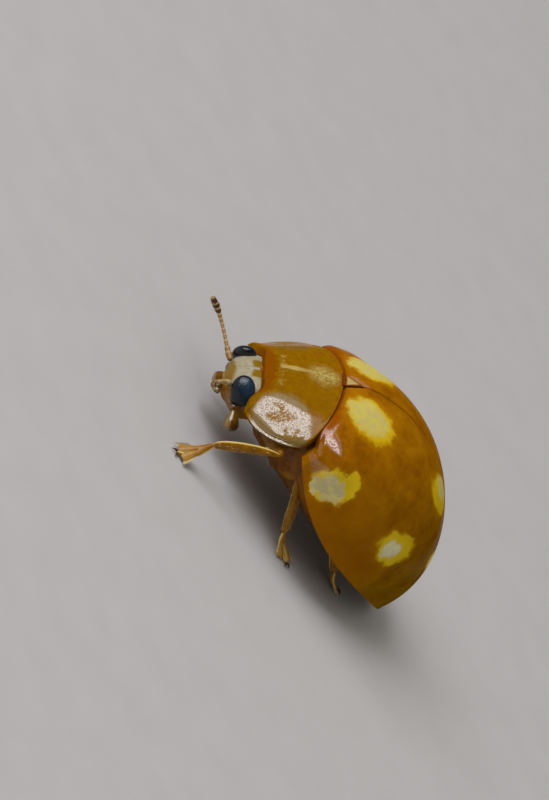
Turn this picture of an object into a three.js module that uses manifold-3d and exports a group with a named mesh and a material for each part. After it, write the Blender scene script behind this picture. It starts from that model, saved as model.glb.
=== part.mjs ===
// A ladybird beetle with pale spots, standing on its six feet: a life-size still model.
//
// Sizes are millimetres. The part frame has +Z up, the head towards -Y and the beetle's left side
// towards +X, with its origin on the floor under the middle of the beetle. The body is shaped level,
// in a frame of its own whose origin is the middle of the wing cases' front edge, and a group then
// pitches and lifts it. Feet and feelers are placed by points of the part frame.
import * as THREE from "three";
import { mergeVertices } from "three/addons/utils/BufferGeometryUtils.js";
import Module from "manifold-3d";

const wasm = await Module();
wasm.setup();

// ---- Driving sizes -------------------------------------------------------------------------

const GAP = 0.03; // clearance between neighbouring pieces
const SHELL = 0.5; // thickness of the wing cases and of the neck shield

// The body frame in the part frame.
const STANCE = {
  pitch: THREE.MathUtils.degToRad(-6.84), // head up
  along: -1.35,
  lift: 0.745,
};

// The dome of the two wing cases. Its half width and the height of its crest each rise from a base
// at y = 0 to their most, then close to a point at the tail.
const DOME = {
  front: -0.55,
  tail: 4.75,
  width: { base: 1.81, most: 2.28, at: 1.7, round: 1.97, point: 1.37 },
  crest: { base: 1.9, most: 2.61, at: 1.86, round: 1.94, point: 1.78 },
  rim: [0.95, 0, 0.77, 0], // height of the side edge, as Bezier values from front to tail
  square: 2.19, // power of the cross section: 2 is an ellipse
  border: { back: 0.03, bow: 0.08, shoulder: 1.65, round: 3, deepest: 0.08 }, // the front edge, seen from above
};
const FINE = { around: 40, rows: 20 };
const COARSE = { around: 20, rows: 11 };

// The underside: Bezier heights from the front of the dome to the tail, and the thorax's hind end.
const VENTER = [-0.22, -0.3, 0.12, 0];
const KEEL = 1.5; // power of the underside's cross section: 1 is a wedge
const WAIST = 2.05;
const NECK = { centre: [0, -0.42, 0.4], half: [0.98, 0.55, 0.66] }; // the front of the thorax

// The neck shield: the crest and the side edge, as Bezier points from back to front.
const SHIELD = {
  crest: [[0, -0.03, 1.8], [0, -0.2, 1.65], [0, -0.88, 1.08], [0, -1.01, 0.69]],
  edge: [[1.76, -0.09, 0.91], [1.92, -0.41, 0.68], [1.45, -0.7, 0.13], [1.09, -1.03, 0.29]],
  focus: [0, -0.25, 0.2], // its thickness is measured towards here
  square: 1.81,
  columns: 22,
  rows: 7,
};

const SCUTELLUM = { width: 0.3, length: 0.22 };

const HEAD = {
  centre: [0, -0.84, 0.05],
  half: [0.75, 0.46, 0.62],
  nod: THREE.MathUtils.degToRad(-31),
  square: 2.5,
};
const EYE = {
  centre: [0.65, -1.13, 0.29],
  half: [0.14, 0.3, 0.22],
  nod: THREE.MathUtils.degToRad(-29),
  swing: THREE.MathUtils.degToRad(-32), // the outer side looks forward
};
const LABRUM = { centre: [0, -1.27, -0.27], half: [0.28, 0.14, 0.18] };

// Feelers in the part frame, from the root to the tip, and their radii.
const FEELER = {
  stalk: 0.19,
  club: 0.25,
  left: [[0.45, -2.67, 0.93], [0.7, -2.75, 0.9], [1.0, -2.85, 0.84], [1.25, -2.91, 0.8]],
  right: [[-0.62, -2.71, 0.89], [-0.95, -2.79, 0.93], [-1.33, -2.97, 1.0], [-1.46, -3.36, 1.08]],
};

// The jaw palps: a stalk that ends in a broad plate.
const PALP = {
  stalk: [[0.5, -1.02, -0.12], [0.72, -0.95, -0.1], [0.82, -0.88, -0.09]],
  radius: 0.18,
  plate: { centre: [0.95, -0.76, -0.2], half: [0.2, 0.24, 0.22] },
};

// The legs in the part frame: hip, knee, ankle and the tip of the claws on the floor.
const LEGS = {
  front_left: [[0.38, -1.85, 0.72], [1.86, -1.42, 1.31], [2.18, -2.49, 0.58], [2.5, -2.94, 0]],
  front_right: [[-0.38, -1.85, 0.72], [-1.8, -1.2, 1.3], [-2.0, -1.05, 0.3], [-2.3, -1.6, 0]],
  middle_left: [[0.62, -0.7, 0.66], [1.5, -0.66, 1.17], [1.55, 0.17, 0.235], [2.02, 0.54, 0]],
  middle_right: [[-0.62, -0.7, 0.66], [-1.5, -0.55, 1.15], [-1.62, 0.35, 0.235], [-2.1, 0.7, 0]],
  hind_left: [[0.66, 0.25, 0.6], [1.5, 0.65, 1], [1.06, 1.7, 0.3], [0.85, 2.17, 0]],
  hind_right: [[-0.66, 0.25, 0.6], [-1.5, 0.75, 0.98], [-1.2, 1.8, 0.3], [-1.05, 2.3, 0]],
};
const LIMB = { femur: [0.2, 0.27, 0.22], tibia: [0.22, 0.24, 0.22], foot: [0.2, 0.24, 0.14] }; // radii

const FINISHES = {
  shell: { color: 0xb8620c, roughness: 0.25, metalness: 0 },
  shield: { color: 0xc8861c, roughness: 0.25, metalness: 0 },
  cream: { color: 0xe8d9a8, roughness: 0.4, metalness: 0 },
  eye: { color: 0x0b0d18, roughness: 0.15, metalness: 0 },
  under: { color: 0x9a5210, roughness: 0.45, metalness: 0 },
  leg: { color: 0xb8741c, roughness: 0.35, metalness: 0 },
};

// ---- Solids and curves -----------------------------------------------------------------------

const stance = new THREE.Group();
stance.rotation.x = STANCE.pitch;
stance.position.set(0, STANCE.along, STANCE.lift);
stance.updateMatrixWorld();

/** A point of the part frame, in the body frame. */
const fromPart = (point) => stance.worldToLocal(new THREE.Vector3(...point));

/** A point of the left side, on the side given as 1 for left or -1 for right. */
const sided = ([x, y, z], side) => [side * x, y, z];

/** A closed geometry as a manifold-3d solid. */
function solid(geometry) {
  const bare = geometry.clone();
  bare.deleteAttribute("normal");
  bare.deleteAttribute("uv");
  const { attributes, index } = mergeVertices(bare, 1e-6);
  const vertProperties = attributes.position.array;
  const triVerts = new Uint32Array(index.array);
  return new wasm.Manifold(new wasm.Mesh({ numProp: 3, vertProperties, triVerts }));
}

/** A manifold-3d solid as a geometry. */
function geometryOf(shape) {
  const { vertProperties, triVerts } = shape.getMesh();
  return new THREE.BufferGeometry()
    .setAttribute("position", new THREE.BufferAttribute(vertProperties, 3))
    .setIndex(new THREE.BufferAttribute(triVerts, 1));
}

/** The solid of a geometry whose every vertex has moved to place(vertex). */
function reshaped(geometry, place) {
  const points = geometry.attributes.position;
  const vertex = new THREE.Vector3();
  for (let i = 0; i < points.count; i += 1) {
    const { x, y, z } = place(vertex.fromBufferAttribute(points, i));
    points.setXYZ(i, x, y, z);
  }
  return solid(geometry);
}

/** A number raised to a power, with its sign kept. */
const signedPower = (value, power) => Math.sign(value) * Math.abs(value) ** power;

/** A value or a point on the Bezier curve of the given control values or points. */
function bezier(controls, t) {
  if (controls.length === 1) return controls[0];
  const between = (a, b) => (Array.isArray(a) ? a.map((v, k) => between(v, b[k])) : a + (b - a) * t);
  return bezier(controls.slice(1).map((next, i) => between(controls[i], next)), t);
}

/** An ellipsoid, squarer than one where square is over 2, turned about Z and X, grown by a margin. */
function ellipsoid({ centre, half, nod = 0, swing = 0, square = 2 }, grow = 0, around = 14, rows = 9) {
  const middle = new THREE.Vector3(...centre);
  const stretch = new THREE.Vector3(...half).addScalar(grow);
  const turn = new THREE.Euler(nod, 0, swing);
  return reshaped(new THREE.SphereGeometry(1, around, rows), (d) => {
    const powers = d.toArray().map((c) => Math.abs(c) ** square);
    const size = (powers[0] + powers[1] + powers[2]) ** (1 / square);
    return d.divideScalar(size).multiply(stretch).applyEuler(turn).add(middle);
  });
}

/** A round-ended limb along a curve, of the radius that radiusAt(t) gives. */
function limb(path, radiusAt, around = 8, rows = 7) {
  const ends = 4; // power of the rounded ends: 2 is an ellipse
  const sky = new THREE.Vector3(0, 0, 1);
  return reshaped(new THREE.SphereGeometry(1, around, rows), (d) => {
    const t = (1 + d.y) / 2;
    const ring = Math.max(Math.hypot(d.x, d.z), 1e-9);
    const full = (1 - Math.min(1, Math.abs(d.y)) ** ends) ** (1 / ends) / ring;
    const radius = radiusAt(t) * full;
    const ahead = path.getTangent(t);
    const side = sky.clone().cross(ahead).normalize();
    const up = ahead.clone().cross(side);
    const middle = path.getPoint(t);
    return middle.addScaledVector(side, -d.x * radius).addScaledVector(up, d.z * radius);
  });
}

/** All of the body frame between two values of one axis: 0 is x and 1 is y. */
function block(axis, from, to) {
  const reach = 20; // well past the beetle
  const size = [reach, reach, reach];
  const middle = [0, 0, 0];
  size[axis] = to - from;
  middle[axis] = (from + to) / 2;
  return solid(new THREE.BoxGeometry(...size).translate(...middle));
}

/** The largest body of a solid, without the crumbs that a cut can leave. */
const largest = (shape) => {
  const pieces = shape.decompose();
  return pieces.reduce((most, piece) => (piece.volume() > most.volume() ? piece : most));
};

/** A solid with others taken away from it. */
const without = (shape, others) => largest(others.reduce((rest, other) => rest.subtract(other), shape));

// ---- Wing cases and trunk ----------------------------------------------------------------------

/** Half width or crest height at y: an ellipse before its most, a pointed arch behind. */
function arch({ base, most, at, round, point }, y) {
  if (y <= at) {
    const reach = at / Math.sqrt(1 - (base / most) ** 2);
    return most * Math.sqrt(Math.max(0, 1 - ((at - y) / reach) ** 2));
  }
  const t = Math.min(1, (y - at) / (DOME.tail - at));
  return most * Math.max(0, 1 - t ** round) ** (1 / point);
}

const rim = (y) => bezier(DOME.rim, THREE.MathUtils.clamp(y / DOME.tail, 0, 1));
const venter = (y) => bezier(VENTER, (y - DOME.front) / (DOME.tail - DOME.front));

/** An arch drawn in by inset, less and less towards the tail, where it would otherwise end too soon. */
function drawnIn(curve, y, inset) {
  const full = arch(curve, y);
  return y < curve.at ? full - inset : full * (1 - inset / curve.most);
}

/** The dome drawn in by inset and closed underneath at the height bottom(y). */
function dome(inset, bottom, { around, rows }) {
  const back = DOME.tail - inset;
  const thin = 0.01; // the least height of either half, so that the ends stay closed
  return reshaped(new THREE.SphereGeometry(1, around, rows), (d) => {
    const y = DOME.front + ((back - DOME.front) * (1 + d.y)) / 2;
    const outer = (y * DOME.tail) / back;
    const ring = Math.max(Math.hypot(d.x, d.z), 1e-9);
    const onPole = ring < 1e-6 ? 0 : 1;
    const power = 2 / (d.z > 0 ? DOME.square : KEEL);
    const across = onPole * signedPower(d.x / ring, power);
    const up = onPole * signedPower(d.z / ring, power);
    const width = drawnIn(DOME.width, outer, inset);
    const top = Math.max(thin, drawnIn(DOME.crest, outer, inset) - rim(y));
    const drop = Math.max(thin, rim(y) - bottom(y));
    return new THREE.Vector3(across * width, y, rim(y) + up * (up > 0 ? top : drop));
  });
}

/** A triangular prism over the scutellum, grown by a margin. */
function scutellumPrism(grow) {
  const half = SCUTELLUM.width / 2 + grow;
  const outline = new THREE.Shape()
    .moveTo(-half, -grow)
    .lineTo(half, -grow)
    .lineTo(0, SCUTELLUM.length + 2 * grow);
  const depth = 2 * DOME.crest.most;
  return solid(new THREE.ExtrudeGeometry(outline, { depth, bevelEnabled: false }));
}

const underRim = (y) => rim(y) - GAP;
const openUnder = (y) => rim(y) - 1;
const shell = dome(0, underRim, FINE).subtract(dome(SHELL, openUnder, COARSE));

/** All that lies in front of the wing cases' front edge, which bows forward and has round shoulders. */
function beforeShell() {
  const { back, bow, shoulder, round, deepest } = DOME.border;
  const half = DOME.width.most + 1;
  const slab = new THREE.BoxGeometry(2, 2, 2, 32, 1, 1);
  return reshaped(slab, (p) => {
    const x = Math.abs(p.x) * half;
    const corner = Math.min(deepest, round * Math.max(0, x - shoulder) ** 2);
    const edge = back - bow * Math.min(1, x / shoulder) ** 2 + corner;
    return new THREE.Vector3(p.x * half, p.y > 0 ? edge : DOME.front - 1, p.z * 2 * half);
  });
}

function wingCase(side) {
  const outside = DOME.width.most + 1;
  const half = side > 0 ? block(0, GAP / 2, outside) : block(0, -outside, -GAP / 2);
  return shell.intersect(half);
}

/** The neck shield, a curved plate, grown by a margin on every side. */
function shield(grow) {
  const focus = new THREE.Vector3(...SHIELD.focus);
  const power = 2 / SHIELD.square;
  const plate = new THREE.BoxGeometry(2, 2, 2, SHIELD.columns, SHIELD.rows, 1);
  return reshaped(plate, (p) => {
    const angle = (p.x * (1 + grow / 2) * Math.PI) / 2;
    const t = 0.5 - (p.y / 2) * (1 + 2 * grow);
    const [, crestY, crestZ] = bezier(SHIELD.crest, t);
    const [edgeX, edgeY, edgeZ] = bezier(SHIELD.edge, t);
    const across = signedPower(Math.sin(angle), power);
    const up = signedPower(Math.cos(angle), power);
    const y = THREE.MathUtils.lerp(edgeY, crestY, up);
    const z = THREE.MathUtils.lerp(edgeZ, crestZ, up);
    const point = new THREE.Vector3(edgeX * across, y, z);
    const inward = focus.clone().sub(point).normalize();
    return point.addScaledVector(inward, p.z > 0 ? -grow : SHELL + grow);
  });
}

// ---- Head --------------------------------------------------------------------------------------

const eye = (side, grow) => {
  const lens = { ...EYE, centre: sided(EYE.centre, side), swing: side * EYE.swing };
  return ellipsoid(lens, grow);
};

/** A feeler: a thin stalk that ends in a club. */
function feeler(side) {
  const path = new THREE.CatmullRomCurve3(FEELER[side].map(fromPart));
  const clubAt = { start: 0.6, full: 0.8 };
  const radiusAt = (t) => {
    const club = THREE.MathUtils.smoothstep(t, clubAt.start, clubAt.full);
    return THREE.MathUtils.lerp(FEELER.stalk, FEELER.club, club);
  };
  return limb(path, radiusAt, 8, 10);
}

function palp(side) {
  const path = new THREE.CatmullRomCurve3(PALP.stalk.map((p) => new THREE.Vector3(...sided(p, side))));
  const plate = { ...PALP.plate, centre: sided(PALP.plate.centre, side) };
  return limb(path, () => PALP.radius, 8, 5).add(ellipsoid(plate, 0, 9, 7));
}

// ---- Legs --------------------------------------------------------------------------------------

/** A straight limb between two points, with its radii at the start, the middle and the end. */
function bone(from, to, [start, middle, end], grow = 0) {
  const controls = [start, 2 * middle - (start + end) / 2, end];
  return limb(new THREE.LineCurve3(from, to), (t) => bezier(controls, t) + grow);
}

const femur = ([hip, knee], grow = 0) => bone(hip, knee, LIMB.femur, grow);
const tibia = ([, knee, ankle], grow = 0) => bone(knee, ankle, LIMB.tibia, grow);
const foot = ([, , ankle, toe]) => bone(ankle, toe, LIMB.foot);

const underFloor = solid(
  new THREE.BoxGeometry(20, 20, 4).translate(0, 0, -2).applyMatrix4(stance.matrixWorld.clone().invert()),
);

// ---- The whole beetle ----------------------------------------------------------------------------

const beetle = new THREE.Group();
beetle.add(stance);

/** Adds a solid of the body frame as a named node. */
function add(name, shape, finish) {
  const mesh = new THREE.Mesh(geometryOf(shape), new THREE.MeshStandardMaterial(FINISHES[finish]));
  mesh.name = name;
  stance.add(mesh);
}

const sides = { left: 1, right: -1 };
const headSpace = ellipsoid(HEAD, GAP);
const eyeSpaces = [eye(1, GAP), eye(-1, GAP)];
const labrumSpace = ellipsoid(LABRUM, GAP);
const shieldSpace = shield(GAP);
const legs = Object.entries(LEGS).map(([name, points]) => [name, points.map(fromPart)]);
const femurSpaces = legs.map(([, points]) => femur(points, GAP));
const legSpaces = femurSpaces.concat(legs.map(([, points]) => tibia(points, GAP)));

for (const [name, points] of legs) {
  add(`${name}_femur`, without(femur(points), [shieldSpace, headSpace]), "leg");
  add(`${name}_tibia`, without(tibia(points), [femur(points, GAP)]), "leg");
  add(`${name}_foot`, without(foot(points), [tibia(points, GAP), underFloor]), "leg");
}

for (const [side, sign] of Object.entries(sides)) {
  const cuts = [beforeShell(), shieldSpace, scutellumPrism(GAP), ...legSpaces];
  add(`wing_case_${side}`, without(wingCase(sign), cuts), "shell");
  add(`eye_${side}`, eye(sign, 0), "eye");
  add(`feeler_${side}`, without(feeler(side), [headSpace, labrumSpace, ...eyeSpaces]), "leg");
  add(`palp_${side}`, without(palp(sign), [headSpace, labrumSpace, ...femurSpaces]), "leg");
}

// The thorax and the abdomen fill the space under the shell.
const inside = dome(SHELL + GAP, venter, COARSE).add(ellipsoid(NECK));
const trunk = without(inside, [shieldSpace, headSpace, ...legSpaces]);

add("scutellum", without(shell.intersect(scutellumPrism(0)), [beforeShell(), shieldSpace]), "cream");
add("neck_shield", shield(0), "shield");
add("thorax", largest(trunk.intersect(block(1, DOME.front - 1, WAIST))), "under");
add("abdomen", largest(trunk.intersect(block(1, WAIST + GAP, DOME.tail))), "under");
add("head", without(ellipsoid(HEAD), [shieldSpace, labrumSpace, ...eyeSpaces]), "cream");
add("labrum", ellipsoid(LABRUM), "leg");

export default beetle;
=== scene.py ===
# %% [markdown]
# # A ten-spotted ladybird, life-size
#
# The beetle is about 6 mm long, so every size here is in millimetres and is turned into metres at
# the last step. Its armour is a set of plates: two wing cases that close into one dome, a neck
# shield in front of them and a small triangle between. Under the plates are the trunk, the head and
# six legs. The plates come first, then the skin under them, then the head, and the finishes last.

# %% Load the frame
import math
import random
from contextlib import contextmanager

import bpy
from mathutils import Matrix, Vector


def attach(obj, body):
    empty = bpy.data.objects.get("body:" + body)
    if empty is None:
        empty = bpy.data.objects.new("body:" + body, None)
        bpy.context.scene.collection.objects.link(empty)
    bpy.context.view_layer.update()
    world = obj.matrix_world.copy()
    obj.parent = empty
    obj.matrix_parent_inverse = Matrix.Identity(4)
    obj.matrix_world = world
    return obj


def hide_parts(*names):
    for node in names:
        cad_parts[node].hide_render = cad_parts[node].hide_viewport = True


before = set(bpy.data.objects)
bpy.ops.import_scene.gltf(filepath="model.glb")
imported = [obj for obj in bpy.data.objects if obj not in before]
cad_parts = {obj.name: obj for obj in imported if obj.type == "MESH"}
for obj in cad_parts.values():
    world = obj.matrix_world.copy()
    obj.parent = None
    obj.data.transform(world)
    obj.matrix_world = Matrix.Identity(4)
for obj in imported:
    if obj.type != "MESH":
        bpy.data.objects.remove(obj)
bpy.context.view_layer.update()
MM = 0.001
UP = Vector((0, 0, 1))
print("nodes in the frame:", len(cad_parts))

# %% [markdown]
# ## The camera
#
# A close-up of a small insect is taken from about 12 cm with a long lens. The beetle once sat on a
# slanting leaf and now stands on a level floor, so the camera has rolled with it: it looks from the
# beetle's left and front, a little from above, and its own upright leans over towards the floor.
# The beetle's middle lies right of the view's middle and below it.

# %% Place the camera
VIEW = {"azimuth": 62.93, "elevation": 18.8, "roll": 58.83, "distance": 123.7, "lens": 292.4}
MIDDLE = Vector((0, 0.235, 1.361))
FRAMING = {"right": 1.151, "below": 1.178}  # how far the beetle's middle is off the view's middle


def spherical(azimuth, elevation):
    """The direction towards the given bearing: azimuth 0 is in front of the head, 90 on the left."""
    turn, rise = math.radians(azimuth), math.radians(elevation)
    flat = Vector((math.sin(turn), -math.cos(turn), 0)) * math.cos(rise)
    return flat + UP * math.sin(rise)


def add_camera():
    back = spherical(VIEW["azimuth"], VIEW["elevation"])
    level = UP.cross(back).normalized()
    roll = Matrix.Rotation(math.radians(VIEW["roll"]), 3, back)
    right = roll @ level
    up = back.cross(right)
    place = MIDDLE + back * VIEW["distance"]
    aim = MIDDLE - right * FRAMING["right"] + up * FRAMING["below"]
    ahead = (place - aim).normalized()
    side = up.cross(ahead).normalized()
    turn = Matrix((side, ahead.cross(side), ahead)).transposed().to_4x4()
    bpy.ops.object.camera_add()
    camera = bpy.context.active_object
    camera.matrix_world = Matrix.Translation(place * MM) @ turn
    camera.data.lens = VIEW["lens"]
    camera.data.clip_start = 0.01
    bpy.context.scene.camera = camera
    return camera


camera = add_camera()
print("camera at", [round(v / MM, 1) for v in camera.location], "mm")

# %% [markdown]
# ## The floor and the light
#
# Glossy armour is drawn by what it reflects. A wide soft box high in front of the head, brighter in
# its middle, gives the white shine on the neck shield and on the shoulders of the wing cases. The
# pale, slightly warm room round about fills the shadows. It is kept out of the gloss, because it
# would turn the edges of the plates milky.

# %% Add the floor, the soft box and the room light
bpy.context.scene.view_settings.view_transform = "Standard"
LIGHTS = {"azimuth": -3, "elevation": 44, "colour": (0.96, 0.945, 1)}
SOFTBOX = {"side": 232, "distance": 240, "radiance": 0.8}
CORE = {"side": 176, "distance": 232, "radiance": 4.3}  # in front of the box, or the box would hide it
ROOM = {"colour": (1, 0.96, 0.9, 1), "strength": 0.42}


def deselect():
    if bpy.context.mode != "OBJECT":
        bpy.ops.object.mode_set(mode="OBJECT")
    bpy.ops.object.select_all(action="DESELECT")


def add_floor():
    deselect()
    bpy.ops.mesh.primitive_plane_add(size=4)
    floor = bpy.context.active_object
    floor.name = "floor"
    return floor


def add_light(box):
    """A square light that faces the beetle, as strong as the box's radiance asks."""
    towards = spherical(LIGHTS["azimuth"], LIGHTS["elevation"])
    bpy.ops.object.light_add(type="AREA", location=(MIDDLE + towards * box["distance"]) * MM)
    light = bpy.context.active_object
    light.rotation_euler = towards.to_track_quat("Z", "Y").to_euler()
    light.data.size = box["side"] * MM
    light.data.energy = box["radiance"] * math.pi * light.data.size**2
    light.data.color = LIGHTS["colour"]
    return light


def light_room():
    world = bpy.data.worlds.new("room")
    world.use_nodes = True
    world.node_tree.nodes["Background"].inputs["Color"].default_value = ROOM["colour"]
    world.node_tree.nodes["Background"].inputs["Strength"].default_value = ROOM["strength"]
    bpy.context.scene.world = world
    world.cycles_visibility.glossy = False  # only the soft box and the floor show in the gloss


floor = add_floor()
lights = [add_light(SOFTBOX), add_light(CORE)]
light_room()
print("soft box and its bright middle:", [round(light.data.energy, 4) for light in lights], "W")

# %% [markdown]
# ## The body's own frame
#
# The body is shaped level, in a frame of its own: y runs from the neck to the tail and the plates'
# front edge is at y = 0. STANCE tips the head up a little and lifts the body off the floor. It is
# worked into every corner, so a piece is made in its place and its object stays at the origin.

# %% Stand the body on the floor
PITCH = math.radians(-6.84)
STANCE = Matrix.Translation((0, -1.35, 0.745)) @ Matrix.Rotation(PITCH, 4, "X")


def body(x, y, z):
    """A point of the body's own frame, in the frame of the floor."""
    return STANCE @ Vector((x, y, z))


print("the body's front edge stands", round(body(0, 0, 0).z, 3), "mm above the floor")

# %% [markdown]
# ## From a primitive to a form
#
# Each piece starts as a primitive with even rows of corners, and a rule moves every corner onto the
# real form. Pushing the corners by hand would do as well, but rules can share their sizes, so that
# neighbouring plates meet where they should. `numbers` notes the corners along an edge while they
# still lie in a straight row.

# %% Form a primitive
EDGE = 0.999  # a corner of a grid beyond this lies on its edge


def grid(columns, rows):
    deselect()
    bpy.ops.mesh.primitive_grid_add(x_subdivisions=columns, y_subdivisions=rows, size=2)


def ball(around, rows):
    deselect()
    bpy.ops.mesh.primitive_uv_sphere_add(segments=around, ring_count=rows, radius=1)


def formed(name, rule):
    """Names the new primitive, and moves each corner c of it to rule(c), in millimetres."""
    piece = bpy.context.active_object
    piece.name = piece.data.name = name
    for corner in piece.data.vertices:
        corner.co = MM * rule(corner.co.copy())
    piece.data.update()
    return piece


def numbers(test):
    """The numbers of the new primitive's corners that pass the test, taken before it is formed."""
    return [c.index for c in bpy.context.active_object.data.vertices if test(c.co)]


print("primitives to start from: a grid and a ball, 1 from the middle to the edge")

# %% [markdown]
# ## Edit mode from a script
#
# An operator acts on all that is selected. So `choose` selects a piece and nothing else, and
# `editing` opens it in edit mode with only the wanted corners picked. The step used most is
# `pull_out`: it extrudes an edge, draws the new edge together and shifts it.

# %% Edit and finish a piece
MERGE = 0.0005  # corners closer than this become one, in millimetres


def choose(*pieces):
    """Selects these pieces and nothing else. The first one is active."""
    deselect()
    for piece in pieces:
        piece.select_set(True)
    bpy.context.view_layer.objects.active = pieces[0]


@contextmanager
def editing(piece, picked=None):
    """Opens a piece in edit mode with the picked corners selected, or all of them."""
    choose(piece)
    bpy.ops.object.mode_set(mode="EDIT")
    bpy.ops.mesh.select_mode(type="VERT")
    bpy.ops.mesh.select_all(action="SELECT" if picked is None else "DESELECT")
    if picked is not None:
        bpy.ops.object.mode_set(mode="OBJECT")
        for index in picked:
            piece.data.vertices[index].select = True
        bpy.ops.object.mode_set(mode="EDIT")
    yield
    bpy.ops.object.mode_set(mode="OBJECT")


def pull_out(scale, centre, shift=(0, 0, 0)):
    """Extrudes the picked edge, scales the new edge about the centre and shifts it."""
    bpy.ops.mesh.extrude_region_move()
    bpy.ops.transform.resize(value=scale, center_override=Vector(centre) * MM)
    bpy.ops.transform.translate(value=[way * MM for way in shift])


def merge_doubles(piece):
    with editing(piece):
        bpy.ops.mesh.remove_doubles(threshold=MERGE * MM)


def face_out(piece, centre):
    """Turns the faces of an open shell outwards, away from a point inside it."""
    inside = centre * MM
    outward = sum((p.center - inside).dot(p.normal) * p.area for p in piece.data.polygons)
    if outward < 0:
        with editing(piece):
            bpy.ops.mesh.flip_normals()


def add_modifier(piece, kind, **settings):
    """Adds a modifier, sets it and applies it."""
    choose(piece)
    modifier = piece.modifiers.new(kind.lower(), kind)
    for key, value in settings.items():
        setattr(modifier, key, value)
    bpy.ops.object.modifier_apply(modifier=modifier.name)


def smooth(piece, angle=40):
    """Shades the piece smooth, but for edges sharper than the angle."""
    choose(piece)
    bpy.ops.object.shade_smooth_by_angle(angle=math.radians(angle))


print("corners closer than", MERGE, "mm are merged")

# %% [markdown]
# ## Handing a piece over
#
# A finished piece rides on the beetle's one body and stands for the plain solids that it hides.
# Where left and right are alike, the left one is made and its copy is mirrored. Mirroring turns a
# shape inside out, so the faces of the copy are flipped back.

# %% Settle a piece
def settle(piece, slot, *nodes):
    """The piece rides on the beetle and stands for its nodes. The slot is not used."""
    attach(piece, "root")
    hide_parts(*nodes)
    faces = sum(len(p.vertices) - 2 for p in piece.data.polygons)
    print(f"{piece.name}: {faces} triangles")
    return piece


def settle_pair(piece, slot, left, right):
    """Copies the left piece, with a mesh of its own, and mirrors the copy for the right side."""
    choose(piece)
    bpy.ops.object.duplicate()
    twin = bpy.context.active_object
    twin.name = twin.data.name = right
    with editing(twin):
        bpy.ops.transform.resize(value=(-1, 1, 1), center_override=(0, 0, 0))
        bpy.ops.mesh.flip_normals()
    return [settle(piece, slot, left), settle(twin, slot, right)]


# %% [markdown]
# ## Steps, humps and curves
#
# The rules are sums of a few simple shapes. `ease` is a smooth step, `hump` a round hill and
# `bezier` a curve that its control points pull on. `packed` sets rows closer at both ends, where
# the forms turn fast.

# %% Draw with numbers
def ease(t, low=0.0, high=1.0):
    """0 below low, 1 above high, and a smooth step between."""
    t = min(1, max(0, (t - low) / (high - low)))
    return t * t * (3 - 2 * t)


def hump(distance, radius):
    return math.exp(-((distance / radius) ** 2))


def packed(t):
    return 0.5 - 0.5 * math.cos(math.pi * t)


def powered(value, power):
    return math.copysign(abs(value) ** power, value)


def bezier(controls, t):
    """A value or a point on the Bezier curve of the control values or points."""
    while len(controls) > 1:
        controls = [a + (b - a) * t for a, b in zip(controls, controls[1:])]
    return controls[0]


def path_of(points):
    """The path along the Bezier curve of the control points, for t from 0 to 1."""
    controls = [Vector(point) for point in points]
    return lambda t: bezier(controls, t)


print("rows at", [round(packed(t / 4), 3) for t in range(5)], "when packed")

# %% [markdown]
# ## The dome
#
# The two wing cases close into one dome. Its half width and the height of its crest each rise from
# a base at the front to their most, then close in a pointed arch at the tail. Its section is a
# little squarer than an ellipse. The same few sizes made the solid part, so both agree.

# %% Define the dome
TAIL = 4.75
WIDTH = {"base": 1.81, "most": 2.28, "at": 1.7, "round": 1.97, "point": 1.37}
CREST = {"base": 1.9, "most": 2.61, "at": 1.86, "round": 1.94, "point": 1.78}
RIM = [0.95, 0, 0.77, 0]  # heights that pull on the side edge, from the front to the tail
SQUARE = 2.19  # 2 makes an ellipse, and more makes it squarer
BORDER = {"back": 0.03, "bow": 0.08, "shoulder": 1.5, "corner": 1.81, "deepest": 0.16}
TRIANGLE = {"half": 0.23, "length": 0.3, "play": 0.03}


def arch(curve, y):
    """The half width or the crest's height at y: an ellipse in front and a pointed arch behind."""
    if y <= curve["at"]:
        reach = curve["at"] / math.sqrt(1 - (curve["base"] / curve["most"]) ** 2)
        return curve["most"] * math.sqrt(max(0, 1 - ((curve["at"] - y) / reach) ** 2))
    t = min(1, (y - curve["at"]) / (TAIL - curve["at"]))
    return curve["most"] * max(0, 1 - t ** curve["round"]) ** (1 / curve["point"])


def rim(y):
    """The height of the dome's side edge at y."""
    return bezier(RIM, min(1, max(0, y / TAIL)))


def dome(across, y):
    """Point of the dome at y: across is 0 at the crest, 1 at the left edge and -1 at the right."""
    angle = across * math.pi / 2
    power = 2 / SQUARE
    x = powered(math.sin(angle), power) * arch(WIDTH, y)
    z = rim(y) + abs(math.cos(angle)) ** power * (arch(CREST, y) - rim(y))
    return Vector((x, y, z))


def border(x):
    """The front edge of the wing cases at x, with its round shoulders and the triangle's notch."""
    x = abs(x)
    edge = BORDER["back"] - BORDER["bow"] * min(1, x / BORDER["shoulder"]) ** 2
    rounding = max(0, x - BORDER["shoulder"]) / (BORDER["corner"] - BORDER["shoulder"])
    edge += BORDER["deepest"] * min(1, rounding) ** 2
    notch = TRIANGLE["length"] * (1 - x / TRIANGLE["half"]) + TRIANGLE["play"]
    return max(edge, notch)


highest = max(body(0, row / 10, arch(CREST, row / 10)).z for row in range(int(TAIL * 10)))
print("the dome's highest point is", round(highest, 2), "mm up")

# %% [markdown]
# ## The wing cases
#
# A wing case is a thin horny plate. It has a swelling at the shoulder, a fine bead along its side
# edge and a flat flange that turns in under that edge. It could be cut from a ball, but the rows of
# a ball don't follow those edges. So a grid becomes the outer surface: its columns run from the
# seam to the side edge and its rows from the front to the tail. Extrude then pulls the flange and
# the front lip out of its edges, and Solidify gives the wall its thickness.

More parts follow.
